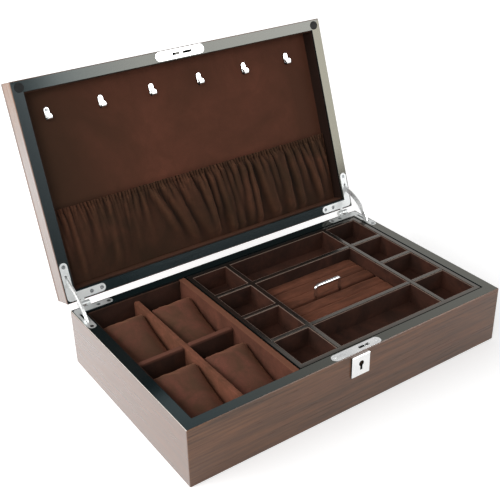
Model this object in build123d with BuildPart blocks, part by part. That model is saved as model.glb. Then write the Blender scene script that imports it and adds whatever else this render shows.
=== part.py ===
"""Wooden watch and jewellery box with a lift-up lid, built in the open position.

The origin is the middle of the underside, +X runs along the front, +Y to the hinges, +Z up.
Everything in the lid is drawn on planes that lie along the open lid, in the same plan as the case.
"""
import os
from math import asin, atan2, cos, degrees, radians, sin, tan

from build123d import *

os.makedirs("parts", exist_ok=True)

# Case and lid boards
case_length = 355.0
case_width = 213.0
case_height = 59.0
lid_height = 24.6
wall = 11.0
lid_top_thickness = 5.0
rim_gap = 0.6
corner_round = 1.2
edge_break = 0.6
bottom_thickness = 5.0
felt_thickness = 1.0

# Hinge axis and how far the lid opens
pivot_behind = 3.65
open_angle = 108.7

# Watch side
divider_thickness = 6.4
watch_side = 102.4
watch_lining = 2.0
floor_pad = 2.0
lining_below_rim = 2.0
divider_below_rim = 0.8
partition_thickness = 5.0
partition_below_rim = 6.0
cushion_side_gap = 0.6
cushion_depth = 71.0
cushion_back_below_rim = 3.5
cushion_front_height = 26.0
cushion_crown = 3.2
cushion_round = 3.0
soft_gap = 0.3

# Lift-out tray
tray_gap = 1.0
tray_height = 24.0
tray_below_rim = 0.4
tray_board = 4.7
tray_floor_thickness = 2.4
tray_divider = 4.0
tray_column = 40.4
tray_edge_round = 0.5
liner = 1.0
liner_below_top = 0.6
tray_support = 3.5

# Ring rolls and handle
roll_count = 6
rolls_in_front = 3
roll_gap = 0.3
roll_slot = 2.0
roll_end_gap = 1.2
roll_below_top = 12.0
roll_round = 3.4
handle_span = 30.5
handle_left_of_middle = 2.0
handle_rod = 1.9
handle_bend = 3.6
handle_below_top = 0.0
handle_clearance = 0.3

# Leaf hinges
leaf_thickness = 1.5
leaf_width = 8.0
leaf_inset = 1.5
side_leg = 40.0
back_leg = 42.0
barrel_radius = 2.6
pin_radius = 1.2
pin_clearance = 0.05
barrel_start = 10.0
barrel_length = 12.0
barrel_gap = 0.15
screw_from_corner = 27.0

# Curved stays between the side legs
stay_thickness = 1.6
stay_half_width = 2.5
stay_eye = 3.0
stay_pin_along = 27.0
stay_pin_above = 3.5
stay_low_front = 30.0
stay_low_below = 3.8
stay_bow = 7.0
stay_pin_radius = 1.0
stay_side_gap = 0.2
lug_thickness = 1.0
lug_below = 2.6
lid_slot_front = 31.2
lid_slot_back = 22.0
lid_slot_depth = 7.2
case_slot_front = 33.5
case_slot_back = 14.0
case_slot_width = 2.6
mortise_front = 35.3
mortise_back = 11.8
mortise_depth = 49.2
mortise_width = 3.4
lid_mortise_width = 4.4

# Screws
screw_head = 2.0
screw_shank = 1.0
screw_length = 8.0
screw_clearance = 0.05
sink_angle = 82.0
recess_length = 1.25
recess_width = 0.28
recess_depth = 0.6

# Lock
plate_length = 55.4
plate_width = 9.4
plate_thickness = 2.0
plate_screw = 23.6
lock_length = 42.0
lock_depth = 30.0
lock_width = 6.6
lock_sheet = 0.8
lock_clearance = 0.2
key_below_rim = 11.0
key_round = 2.8
key_slot_width = 2.6
key_slot_foot = 6.8
key_pin_radius = 1.0
collar_radius = 2.45
collar_shoulder = 3.5
hook_thickness = 1.8
hook_inner = 13.5
hook_outer = 16.0
hook_hub = 5.0
hook_tip_angle = 38.0
hook_root_angle = -31.0
hook_spoke_width = 3.0
bolt_slot_centre = 8.7
bolt_slot_length = 11.7
bolt_slot_width = 2.6
key_plate_width = 20.5
key_plate_height = 21.5
key_plate_thickness = 2.0
key_plate_below_rim = 2.5

# Catch plate in the lid
catch_length = 56.0
catch_thickness = 1.5
catch_slots = ((8.15, 10.5), (-4.6, 8.0))
catch_pocket = (32.0, 4.6, 7.0)

# Lid lining, hooks, pocket and bumpers
lid_board = 2.5
lid_side_lining = 1.5
lid_lining_below_rim = 1.5
pocket_height = 76.0
pocket_sheet = 1.0
pocket_gap = 6.0
hook_count = 6
hook_pitch = 56.0
hook_row_left_of_middle = 4.0
hook_from_front_edge = 31.7
hook_width = 5.0
hook_strip = 1.3
hook_above_screw = 2.6
hook_below_screw = 6.6
hook_bend = 2.5
hook_finger = 3.4
hook_screw_head = 1.5
hook_screw_dome = 0.6
hook_screw_flat = 0.75
hook_screw_shank = 0.8
hook_screw_length = 5.0
bumper_radius = 4.5
bumper_thickness = 0.5
bumper_from_side = 8.0
bumper_from_front = 6.5

# Places worked out from the sizes above
half_length = case_length / 2
half_width = case_width / 2
inner_x = half_length - wall
inner_y = half_width - wall
inside_floor = felt_thickness + bottom_thickness
pivot_y = half_width + pivot_behind
pivot_z = case_height + rim_gap / 2
lid_rim = rim_gap / 2
lid_back = Vector(0, cos(radians(open_angle)), -sin(radians(open_angle)))
lid_out = Vector(0, sin(radians(open_angle)), cos(radians(open_angle)))
divider_left = -inner_x + watch_side
divider_right = divider_left + divider_thickness
tray_top = case_height - tray_below_rim
tray_bottom = tray_top - tray_height
sides = (("left", -1), ("right", 1))


def level(height):
    """Plane across the case at a height above its underside."""
    return Plane.XY.offset(height)


def lid_level(height):
    """Plane along the open lid, a height out from the hinge axis, centred on the lid."""
    middle = Vector(0, pivot_y, pivot_z) - lid_back * pivot_y + lid_out * height
    return Plane(origin=middle, x_dir=(1, 0, 0), z_dir=lid_out)


def facing(plane):
    """The same plane seen from its other side; a point (x, y) there is (x, -y) here."""
    return Plane(origin=plane.origin, x_dir=plane.x_dir, z_dir=-plane.z_dir)


def spots(plane, points):
    """Locations on a plane, for screws and their holes."""
    return [plane.location * Location((x, y, 0)) for x, y in points]


def flipped(points):
    return [(x, -y) for x, y in points]


def mitred_board(side, length, width, thickness):
    """Plan outline of one board of a mitred frame."""
    x, y = length / 2, width / 2
    u, v = x - thickness, y - thickness
    outlines = {
        "front": [(-x, -y), (x, -y), (u, -v), (-u, -v)],
        "back": [(x, y), (-x, y), (-u, v), (u, v)],
        "left": [(-x, y), (-x, -y), (-u, -v), (-u, v)],
        "right": [(x, -y), (x, y), (u, v), (u, -v)],
    }
    return outlines[side]


def stadium(start, end, width):
    """A round-ended strip between two points of the current sketch."""
    run = Vector(*end) - Vector(*start)
    middle = (Vector(*start) + Vector(*end)) * 0.5
    with Locations((middle.X, middle.Y)):
        SlotCenterToCenter(run.length, width, rotation=degrees(atan2(run.Y, run.X)))


def outer_edges(part, plane, length, width, thickness):
    """Edges of a board that lie on a plane and on the outside of its frame."""
    found = []
    for edge in part.edges():
        spot = plane.to_local_coords(edge.center())
        outside = max(abs(spot.X) - length / 2, abs(spot.Y) - width / 2) > -thickness / 2 + 0.1
        if abs(spot.Z) < 0.01 and outside and edge.length > 0.3:
            ends = [plane.to_local_coords(edge @ t) for t in (0, 1)]
            if all(abs(end.Z) < 0.01 for end in ends):
                found.append(edge)
    return found


def make_screw(head, shank, length):
    """Countersunk screw with a cross recess, its head flush with z = 0."""
    cone = (head - shank) / tan(radians(sink_angle / 2))
    with BuildPart() as screw:
        with BuildSketch(Plane.XZ):
            Polygon((0, 0), (head, 0), (shank, -cone), (shank, -length + shank), (0, -length), align=None)
        revolve(axis=Axis.Z)
        with BuildSketch(Plane.XY):
            Rectangle(head * recess_length, head * recess_width)
            Rectangle(head * recess_width, head * recess_length)
        extrude(amount=-cone * recess_depth, mode=Mode.SUBTRACT)
    return screw.part


def leaf_screws(sign):
    """Plan places of the three screws in one hinge leaf."""
    centre = leaf_inset + leaf_width / 2
    return [
        (sign * (half_length - centre), half_width - side_leg + leaf_width / 2),
        (sign * (half_length - screw_from_corner), half_width - centre),
        (sign * (half_length - back_leg + leaf_width / 2), half_width - centre),
    ]


def leaf_sketch(sign):
    """L-shaped outline of a hinge leaf on the current plan sketch."""
    centre = leaf_inset + leaf_width / 2
    corner = (sign * (half_length - centre), half_width - centre)
    stadium(corner, (corner[0], half_width - side_leg + leaf_width / 2), leaf_width)
    stadium(corner, (sign * (half_length - back_leg + leaf_width / 2), corner[1]), leaf_width)


def knuckles(sign, middle):
    """X ranges of the barrel pieces of one leaf: the middle one, or the two outer ones."""
    third = barrel_length / 3
    starts = (barrel_start + third,) if middle else (barrel_start, barrel_start + 2 * third)
    ranges = []
    for start in starts:
        a, b = start + barrel_gap / 2, start + third - barrel_gap / 2
        ranges.append(tuple(sorted((sign * (half_length - a), sign * (half_length - b)))))
    return ranges


def knuckle_sketch(sign, middle, grow=0.0):
    """Plan of the tabs that run from a leaf's back leg to the hinge axis."""
    start = half_width - leaf_inset - leaf_width / 2
    for low, high in knuckles(sign, middle):
        with Locations(((low + high) / 2, (start + pivot_y) / 2)):
            Rectangle(high - low + 2 * grow, pivot_y - start)


# The four case walls, mitred at the corners, with the seats for hinges, stays and lock
stay_x = half_length - leaf_inset - leaf_width / 2
plate_y = -half_width + wall / 2
key_height = case_height - key_below_rim
for side in ("front", "back", "left", "right"):
    with BuildPart() as case_wall:
        with BuildSketch(level(0)):
            RectangleRounded(case_length, case_width, corner_round)
            Polygon(*mitred_board(side, case_length, case_width, wall), align=None, mode=Mode.INTERSECT)
        extrude(amount=case_height)
        for plane in (level(case_height), level(0)):
            rim = outer_edges(case_wall.part, plane, case_length, case_width, wall)
            chamfer(rim, length=edge_break)
        if side == "front":
            with BuildSketch(level(case_height)):
                with Locations((0, plate_y)):
                    SlotOverall(plate_length + 2 * screw_clearance, plate_width + 2 * screw_clearance)
            extrude(amount=-plate_thickness, mode=Mode.SUBTRACT)
            with BuildSketch(level(case_height)):
                with Locations((0, plate_y)):
                    Rectangle(lock_length + 2 * lock_clearance, lock_width + 2 * lock_clearance)
            extrude(amount=-lock_depth - lock_clearance, mode=Mode.SUBTRACT)
            with BuildSketch(Plane.XZ.offset(half_width)):
                with Locations((0, key_height)):
                    Circle(key_round)
                with Locations((0, key_height - key_slot_foot / 2)):
                    Rectangle(key_slot_width, key_slot_foot)
            extrude(amount=-wall / 2, mode=Mode.SUBTRACT)
            with Locations(*spots(level(case_height - plate_thickness),
                                  [(-plate_screw, plate_y), (plate_screw, plate_y)])):
                Hole(screw_shank + screw_clearance, depth=screw_length - plate_thickness)
        else:
            with BuildSketch(level(case_height)):
                for name, sign in sides:
                    if side in (name, "back"):
                        leaf_sketch(sign)
                        knuckle_sketch(sign, middle=False)
            extrude(amount=-leaf_thickness, mode=Mode.SUBTRACT)
            for name, sign in sides:
                if side not in (name, "back"):
                    continue
                holes = [p for p in leaf_screws(sign) if (abs(p[0]) > inner_x) == (side != "back")]
                with Locations(*spots(level(case_height - leaf_thickness), holes)):
                    Hole(screw_shank + screw_clearance, depth=screw_length - leaf_thickness)
        for name, sign in sides:
            if side == name:
                with BuildSketch(level(case_height)):
                    with Locations((sign * stay_x, pivot_y - (mortise_front + mortise_back) / 2)):
                        Rectangle(mortise_width, mortise_front - mortise_back)
                extrude(amount=-mortise_depth, mode=Mode.SUBTRACT)
    case_wall.part.label = "case_" + side + "_wall"
    export_step(case_wall.part, "parts/case_" + side + "_wall.step")

# Bottom board between the walls, with a felt sheet under it
with BuildPart() as case_bottom:
    with BuildSketch(level(felt_thickness)):
        Rectangle(2 * inner_x, 2 * inner_y)
    extrude(amount=bottom_thickness)
case_bottom.part.label = "case_bottom_board"
export_step(case_bottom.part, "parts/case_bottom_board.step")

with BuildPart() as base_felt:
    with BuildSketch(level(0)):
        Rectangle(2 * inner_x, 2 * inner_y)
    extrude(amount=felt_thickness)
base_felt.part.label = "base_felt"
export_step(base_felt.part, "parts/base_felt.step")

# Covered board that parts the watch side from the tray side
with BuildPart() as divider:
    with BuildSketch(level(inside_floor)):
        with Locations(((divider_left + divider_right) / 2, 0)):
            Rectangle(divider_thickness, 2 * inner_y)
    extrude(amount=case_height - divider_below_rim - inside_floor)
divider.part.label = "compartment_divider"
export_step(divider.part, "parts/compartment_divider.step")

# Lining boards that line the storage space and carry the tray
with BuildPart() as storage_linings:
    with BuildSketch(level(inside_floor)):
        storage_middle = (divider_right + inner_x) / 2
        for sign in (-1, 1):
            with Locations((storage_middle, sign * (inner_y - tray_support / 2))):
                Rectangle(inner_x - divider_right, tray_support)
    extrude(amount=tray_bottom - inside_floor)
    with BuildSketch(level(inside_floor)):
        for x in (divider_right + tray_support / 2, inner_x - tray_support / 2):
            with Locations((x, 0)):
                Rectangle(tray_support, 2 * (inner_y - tray_support) - 2 * screw_clearance)
    extrude(amount=tray_bottom - inside_floor)
storage_linings.part.label = "storage_lining_boards"
export_step(storage_linings.part, "parts/storage_lining_boards.step")

with BuildPart() as storage_pad:
    with BuildSketch(level(inside_floor)):
        with Locations((storage_middle, 0)):
            Rectangle(inner_x - divider_right - 2 * tray_support, 2 * (inner_y - tray_support))
    extrude(amount=floor_pad)
storage_pad.part.label = "storage_floor_pad"
export_step(storage_pad.part, "parts/storage_floor_pad.step")

# Linings, floor pad and partitions of the watch side
lining_top = case_height - lining_below_rim
with BuildPart() as watch_linings:
    with BuildSketch(level(inside_floor)):
        with Locations((-inner_x + watch_lining / 2, 0)):
            Rectangle(watch_lining, 2 * inner_y)
    extrude(amount=lining_top - inside_floor)
    with BuildSketch(level(inside_floor)):
        for sign in (-1, 1):
            run = divider_left + inner_x - watch_lining - screw_clearance
            with Locations((divider_left - run / 2, sign * (inner_y - watch_lining / 2))):
                Rectangle(run, watch_lining)
    extrude(amount=lining_top - inside_floor)
watch_linings.part.label = "watch_side_linings"
export_step(watch_linings.part, "parts/watch_side_linings.step")

cell_left = -inner_x + watch_lining
cell_front = -inner_y + watch_lining
watch_middle = (cell_left + divider_left) / 2
with BuildPart() as watch_pad:
    with BuildSketch(level(inside_floor)):
        with Locations((watch_middle, 0)):
            Rectangle(divider_left - cell_left, -2 * cell_front)
    extrude(amount=floor_pad)
watch_pad.part.label = "watch_floor_pad"
export_step(watch_pad.part, "parts/watch_floor_pad.step")

pad_top = inside_floor + floor_pad
partition_top = case_height - partition_below_rim
with BuildPart() as long_partition:
    with BuildSketch(level(pad_top)):
        with Locations((watch_middle, 0)):
            Rectangle(partition_thickness, -2 * cell_front)
    extrude(amount=partition_top - pad_top)
long_partition.part.label = "long_partition"
export_step(long_partition.part, "parts/long_partition.step")

cell_width = (divider_left - cell_left - partition_thickness) / 2
with BuildPart() as cross_partitions:
    with BuildSketch(level(pad_top)):
        for x in (cell_left + cell_width / 2, divider_left - cell_width / 2):
            with Locations((x, 0)):
                Rectangle(cell_width, partition_thickness)
    extrude(amount=partition_top - pad_top)
cross_partitions.part.label = "cross_partitions"
export_step(cross_partitions.part, "parts/cross_partitions.step")

# Four watch cushions, high at the back and low at the front
cushion_base = pad_top + soft_gap
cushion_back = case_height - cushion_back_below_rim
cushion_front = cushion_base + cushion_front_height
rows = (("front", cell_front), ("back", partition_thickness / 2))
for row, row_front in rows:
    for name, x in (("left", cell_left + cell_width / 2), ("right", divider_left - cell_width / 2)):
        y0 = row_front + cushion_side_gap
        y1 = y0 + cushion_depth
        slope = Vector(y1 - y0, cushion_back - cushion_front)
        rise = Vector(-slope.Y, slope.X).normalized() * cushion_crown
        crown = Vector((y0 + y1) / 2, (cushion_front + cushion_back) / 2) + rise
        with BuildPart() as cushion:
            with BuildSketch(Plane.YZ.offset(x - cell_width / 2 + cushion_side_gap)) as profile:
                with BuildLine():
                    Polyline((y0, cushion_front), (y0, cushion_base), (y1, cushion_base), (y1, cushion_back))
                    ThreePointArc((y1, cushion_back), (crown.X, crown.Y), (y0, cushion_front))
                make_face()
                fillet(profile.vertices(), radius=cushion_round)
            extrude(amount=cell_width - 2 * cushion_side_gap)
        cushion.part.label = "watch_cushion_" + row + "_" + name
        export_step(cushion.part, "parts/watch_cushion_" + row + "_" + name + ".step")

# Lift-out tray: mitred frame, floor and dividers
tray_left = divider_right + tray_gap
tray_right = inner_x - tray_gap
tray_x = (tray_left + tray_right) / 2
tray_length = tray_right - tray_left
tray_width = 2 * (inner_y - tray_gap)
tray_plane = Plane((tray_x, 0, tray_bottom))
for side in ("front", "back", "left", "right"):
    with BuildPart() as tray_wall:
        with BuildSketch(tray_plane):
            Polygon(*mitred_board(side, tray_length, tray_width, tray_board), align=None)
        extrude(amount=tray_height)
        rim = outer_edges(tray_wall.part, tray_plane.offset(tray_height), tray_length, tray_width, tray_board)
        fillet(rim, radius=tray_edge_round)
    tray_wall.part.label = "tray_" + side + "_wall"
    export_step(tray_wall.part, "parts/tray_" + side + "_wall.step")

with BuildPart() as tray_floor:
    with BuildSketch(tray_plane):
        Rectangle(tray_length - 2 * tray_board, tray_width - 2 * tray_board)
    extrude(amount=tray_floor_thickness)
tray_floor.part.label = "tray_floor"
export_step(tray_floor.part, "parts/tray_floor.step")

floor_plane = tray_plane.offset(tray_floor_thickness)
tray_depth = tray_height - tray_floor_thickness
half_tray = tray_length / 2 - tray_board
tray_row = (tray_width - 2 * tray_board - 3 * tray_divider) / 4
column_x = half_tray - tray_column - tray_divider / 2
middle_width = 2 * column_x - tray_divider
for name, sign in sides:
    with BuildPart() as column_divider:
        with BuildSketch(floor_plane):
            with Locations((sign * column_x, 0)):
                Rectangle(tray_divider, tray_width - 2 * tray_board)
        extrude(amount=tray_depth)
    column_divider.part.label = "tray_column_divider_" + name
    export_step(column_divider.part, "parts/tray_column_divider_" + name + ".step")

row_step = tray_row + tray_divider
outer_column_x = half_tray - tray_column / 2
with BuildPart() as cross_dividers:
    with BuildSketch(floor_plane):
        for row in (-1, 0, 1):
            for sign in (-1, 1):
                with Locations((sign * outer_column_x, row * row_step)):
                    Rectangle(tray_column, tray_divider)
            if row:
                with Locations((0, row * row_step)):
                    Rectangle(middle_width, tray_divider)
    extrude(amount=tray_depth)
cross_dividers.part.label = "tray_cross_dividers"
export_step(cross_dividers.part, "parts/tray_cross_dividers.step")

# Covered card liners, one in each cell, and the deep one that holds the ring rolls
ring_depth = 2 * tray_row + tray_divider
ring_front = -ring_depth / 2 + liner + soft_gap
ring_back = -ring_front
roll_width = (ring_back - ring_front - roll_slot - (roll_count - 2) * roll_gap) / roll_count
roll_pitch = roll_width + roll_gap
handle_x = -handle_left_of_middle
handle_y = ring_front + rolls_in_front * roll_pitch - roll_gap + roll_slot + handle_rod
cells = [(sign * outer_column_x, (row - 1.5) * row_step, tray_column, tray_row)
         for sign in (-1, 1) for row in range(4)]
cells += [(0, sign * 1.5 * row_step, middle_width, tray_row) for sign in (-1, 1)]
cells += [(0, 0, middle_width, ring_depth)]
with BuildPart() as cell_liners:
    with BuildSketch(floor_plane):
        for x, y, width, depth in cells:
            with Locations((x, y)):
                Rectangle(width, depth)
    extrude(amount=tray_depth - liner_below_top)
    with BuildSketch(floor_plane.offset(liner)):
        for x, y, width, depth in cells:
            with Locations((x, y)):
                Rectangle(width - 2 * liner, depth - 2 * liner)
    extrude(amount=tray_depth, mode=Mode.SUBTRACT)
    with BuildSketch(floor_plane):
        with Locations((handle_x - handle_span / 2, handle_y), (handle_x + handle_span / 2, handle_y)):
            Circle(handle_rod + handle_clearance)
    extrude(amount=liner, mode=Mode.SUBTRACT)
cell_liners.part.label = "tray_cell_liners"
export_step(cell_liners.part, "parts/tray_cell_liners.step")

# Ring rolls laid side by side, three on each side of a wider slot, notched round the handle's feet
roll_base = tray_floor_thickness + liner + soft_gap
roll_top = tray_height - roll_below_top
roll_length = middle_width - 2 * liner - 2 * roll_end_gap
with BuildPart() as ring_rolls:
    with BuildSketch(Plane.YZ.offset(tray_x - roll_length / 2)):
        for index in range(roll_count):
            if index < rolls_in_front:
                y = ring_front + roll_width / 2 + index * roll_pitch
            else:
                y = ring_back - roll_width / 2 - (roll_count - 1 - index) * roll_pitch
            with Locations((y, tray_bottom + (roll_base + roll_top) / 2)):
                RectangleRounded(roll_width, roll_top - roll_base, roll_round)
    extrude(amount=roll_length)
    with BuildSketch(Plane((tray_x + handle_x, handle_y, tray_bottom))):
        with GridLocations(handle_span, 0, 2, 1):
            Circle(handle_rod + handle_clearance)
    extrude(amount=tray_height, mode=Mode.SUBTRACT)
ring_rolls.part.label = "ring_rolls"
export_step(ring_rolls.part, "parts/ring_rolls.step")

# Bow handle whose feet stand on the tray floor, at the front of the roll behind the slot
handle_top = tray_top - handle_below_top
handle_foot = tray_bottom + tray_floor_thickness
handle_left = tray_x + handle_x - handle_span / 2
handle_right = handle_left + handle_span
with BuildPart() as tray_handle:
    with BuildLine(Plane.XZ.offset(-handle_y)):
        FilletPolyline(
            (handle_left, handle_foot),
            (handle_left, handle_top),
            (handle_right, handle_top),
            (handle_right, handle_foot),
            radius=handle_bend,
        )
    with BuildSketch(Plane((handle_left, handle_y, handle_foot))):
        Circle(handle_rod)
    sweep()
tray_handle.part.label = "tray_handle"
export_step(tray_handle.part, "parts/tray_handle.step")

# Hinge leaves let into the case rim and the lid rim, their pins and screws
hinge_screw = make_screw(screw_head, screw_shank, screw_length)
for name, sign in sides:
    with BuildPart() as case_leaf:
        with BuildSketch(level(case_height)):
            leaf_sketch(sign)
            knuckle_sketch(sign, middle=False)
        extrude(amount=-leaf_thickness)
        for low, high in knuckles(sign, middle=False):
            with BuildSketch(Plane.YZ.offset(low)):
                with Locations((pivot_y, pivot_z)):
                    Circle(barrel_radius)
            extrude(amount=high - low)
        with BuildSketch(Plane.YZ.offset(-half_length)):
            with Locations((pivot_y, pivot_z)):
                Circle(pin_radius + pin_clearance)
        extrude(amount=case_length, mode=Mode.SUBTRACT)
        with BuildSketch(level(case_height)):
            with Locations((sign * stay_x, pivot_y - (case_slot_front + case_slot_back) / 2)):
                Rectangle(case_slot_width, case_slot_front - case_slot_back)
        extrude(amount=-leaf_thickness, mode=Mode.SUBTRACT)
        with Locations(*spots(level(case_height), leaf_screws(sign))):
            CounterSinkHole(screw_shank + screw_clearance, screw_head + screw_clearance)
    case_leaf.part.label = "case_hinge_leaf_" + name
    export_step(case_leaf.part, "parts/case_hinge_leaf_" + name + ".step")

    with BuildPart() as lid_leaf:
        with BuildSketch(lid_level(lid_rim)):
            leaf_sketch(sign)
            knuckle_sketch(sign, middle=True)
        extrude(amount=leaf_thickness)
        for low, high in knuckles(sign, middle=True):
            with BuildSketch(Plane.YZ.offset(low)):
                with Locations((pivot_y, pivot_z)):
                    Circle(barrel_radius)
            extrude(amount=high - low)
        with BuildSketch(Plane.YZ.offset(-half_length)):
            with Locations((pivot_y, pivot_z)):
                Circle(pin_radius)
        extrude(amount=case_length, mode=Mode.SUBTRACT)
        lug_offset = stay_thickness / 2 + stay_side_gap + lug_thickness / 2
        with BuildSketch(lid_level(lid_rim + leaf_thickness)):
            for x in (sign * stay_x - lug_offset, sign * stay_x + lug_offset):
                with Locations((x, pivot_y - stay_pin_along)):
                    Rectangle(lug_thickness, 2 * stay_eye)
        extrude(amount=stay_pin_above + lug_below - lid_rim - leaf_thickness)
        with BuildSketch(lid_level(lid_rim)):
            with Locations((sign * stay_x, pivot_y - (lid_slot_front + lid_slot_back) / 2)):
                Rectangle(stay_thickness + 2 * stay_side_gap, lid_slot_front - lid_slot_back)
        extrude(amount=leaf_thickness, mode=Mode.SUBTRACT)
        pin_plane = Plane(
            origin=lid_level(stay_pin_above).from_local_coords((-half_length, pivot_y - stay_pin_along, 0)),
            x_dir=(0, 1, 0), z_dir=(1, 0, 0))
        with BuildSketch(pin_plane):
            Circle(stay_pin_radius)
        extrude(amount=case_length, mode=Mode.SUBTRACT)
        with Locations(*spots(facing(lid_level(lid_rim)), flipped(leaf_screws(sign)))):
            CounterSinkHole(screw_shank + screw_clearance, screw_head + screw_clearance)
    lid_leaf.part.label = "lid_hinge_leaf_" + name
    export_step(lid_leaf.part, "parts/lid_hinge_leaf_" + name + ".step")

    with BuildPart() as hinge_pin:
        near, far = half_length - barrel_start, half_length - barrel_start - barrel_length
        with BuildSketch(Plane.YZ.offset(min(sign * near, sign * far))):
            with Locations((pivot_y, pivot_z)):
                Circle(pin_radius)
        extrude(amount=barrel_length)
    hinge_pin.part.label = "hinge_pin_" + name
    export_step(hinge_pin.part, "parts/hinge_pin_" + name + ".step")

case_spots = spots(level(case_height), leaf_screws(-1) + leaf_screws(1))
lid_spots = spots(facing(lid_level(lid_rim)), flipped(leaf_screws(-1) + leaf_screws(1)))
for name, places in (("case_hinge_screws", case_spots), ("lid_hinge_screws", lid_spots)):
    with BuildPart() as screws:
        with Locations(*places):
            add(hinge_screw)
    screws.part.label = name
    export_step(screws.part, "parts/" + name + ".step")

# Curved stays, each pinned in the lid leaf and running down through the case leaf
pin_spot = lid_level(stay_pin_above).from_local_coords((0, pivot_y - stay_pin_along, 0))
pin_point = Vector(pin_spot.Y, pin_spot.Z)
low_point = Vector(pivot_y - stay_low_front, pivot_z - stay_low_below)
chord = low_point - pin_point
bow_side = Vector(chord.Y, -chord.X).normalized()
bow_point = (pin_point + low_point) * 0.5 + bow_side * stay_bow
stay_curve = ThreePointArc((pin_point.X, pin_point.Y), (bow_point.X, bow_point.Y), (low_point.X, low_point.Y))
for name, sign in sides:
    with BuildPart() as stay:
        with BuildSketch(Plane.YZ.offset(sign * stay_x - stay_thickness / 2)):
            SlotArc(stay_curve, 2 * stay_half_width)
            with Locations((pin_point.X, pin_point.Y)):
                Circle(stay_eye)
                Circle(stay_pin_radius + pin_clearance, mode=Mode.SUBTRACT)
        extrude(amount=stay_thickness)
    stay.part.label = "stay_" + name
    export_step(stay.part, "parts/stay_" + name + ".step")

with BuildPart() as stay_rivets:
    rivet_length = stay_thickness + 2 * stay_side_gap + 2 * lug_thickness
    for name, sign in sides:
        with BuildSketch(Plane.YZ.offset(sign * stay_x - rivet_length / 2)):
            with Locations((pin_point.X, pin_point.Y)):
                Circle(stay_pin_radius)
        extrude(amount=rivet_length)
stay_rivets.part.label = "stay_rivets"
export_step(stay_rivets.part, "parts/stay_rivets.step")

# Half-mortise lock: face plate with its box, back cover, key post and turning hook
lock_front = plate_y - lock_width / 2
lock_back = plate_y + lock_width / 2
box_top = case_height - plate_thickness
with BuildPart() as lock_case:
    with BuildSketch(level(case_height)):
        with Locations((0, plate_y)):
            SlotOverall(plate_length, plate_width)
    extrude(amount=-plate_thickness)
    with BuildSketch(level(box_top)):
        with Locations((0, (lock_front + lock_back - lock_sheet) / 2)):
            Rectangle(lock_length, lock_width - lock_sheet)
    extrude(amount=-(lock_depth - plate_thickness))
    with BuildSketch(level(box_top)):
        with Locations((0, (lock_front + lock_back) / 2)):
            Rectangle(lock_length - 2 * lock_sheet, lock_width - 2 * lock_sheet)
    extrude(amount=-(lock_depth - plate_thickness - lock_sheet), mode=Mode.SUBTRACT)
    with BuildSketch(level(case_height)):
        with Locations((bolt_slot_centre, plate_y)):
            Rectangle(bolt_slot_length, bolt_slot_width)
    extrude(amount=-plate_thickness, mode=Mode.SUBTRACT)
    with BuildSketch(Plane.XZ.offset(-lock_front)):
        with Locations((0, key_height)):
            Circle(key_round)
        with Locations((0, key_height - key_slot_foot / 2)):
            Rectangle(key_slot_width, key_slot_foot)
    extrude(amount=-lock_sheet, mode=Mode.SUBTRACT)
    with Locations(*spots(level(case_height), [(-plate_screw, plate_y), (plate_screw, plate_y)])):
        CounterSinkHole(screw_shank + screw_clearance, screw_head + screw_clearance, depth=plate_thickness)
lock_case.part.label = "lock_case"
export_step(lock_case.part, "parts/lock_case.step")

with BuildPart() as lock_cover:
    with BuildSketch(Plane.XZ.offset(-lock_back)):
        with Locations((0, box_top - (lock_depth - plate_thickness) / 2)):
            Rectangle(lock_length, lock_depth - plate_thickness)
        with Locations((0, key_height)):
            Circle(key_pin_radius, mode=Mode.SUBTRACT)
    extrude(amount=lock_sheet)
lock_cover.part.label = "lock_cover"
export_step(lock_cover.part, "parts/lock_cover.step")

hook_front = plate_y - hook_thickness / 2
hook_back = plate_y + hook_thickness / 2
with BuildPart() as key_post:
    with BuildSketch(Plane.XZ.offset(-lock_back)):
        with Locations((0, key_height)):
            Circle(key_pin_radius)
    extrude(amount=lock_back + half_width - edge_break)
    with BuildSketch(Plane.XZ.offset(-lock_back + lock_sheet)):
        with Locations((0, key_height)):
            Circle(collar_radius)
    extrude(amount=lock_back - lock_sheet - hook_front + stay_side_gap)
    with BuildSketch(Plane.XZ.offset(-lock_back + lock_sheet)):
        with Locations((0, key_height)):
            Circle(collar_shoulder)
    extrude(amount=lock_back - lock_sheet - hook_back - stay_side_gap)
key_post.part.label = "lock_key_post"
export_step(key_post.part, "parts/lock_key_post.step")

hook_middle = (hook_inner + hook_outer) / 2
hook_end_round = degrees(asin((hook_outer - hook_inner) / 2 / hook_middle))
hook_sweep = hook_tip_angle - hook_root_angle - hook_end_round
hook_curve = CenterArc((0, 0), hook_middle, hook_root_angle, hook_sweep)
spoke_end = Vector(cos(radians(hook_root_angle)), sin(radians(hook_root_angle))) * hook_middle
with BuildPart() as lock_hook:
    with BuildSketch(Plane.XZ.offset(-hook_front)):
        with Locations((0, key_height)):
            Circle(hook_hub)
            SlotArc(hook_curve, hook_outer - hook_inner)
        stadium((0, key_height), (spoke_end.X, spoke_end.Y + key_height), hook_spoke_width)
        with Locations((0, key_height)):
            Circle(collar_radius + pin_clearance, mode=Mode.SUBTRACT)
        with Locations((0, key_height - hook_hub)):
            Rectangle(key_slot_width, 2 * (hook_hub - collar_radius - 1), mode=Mode.SUBTRACT)
    extrude(amount=-hook_thickness)
lock_hook.part.label = "lock_hook"
export_step(lock_hook.part, "parts/lock_hook.step")

with BuildPart() as lock_screws:
    with Locations(*spots(level(case_height), [(-plate_screw, plate_y), (plate_screw, plate_y)])):
        add(hinge_screw)
lock_screws.part.label = "lock_screws"
export_step(lock_screws.part, "parts/lock_screws.step")

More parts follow.
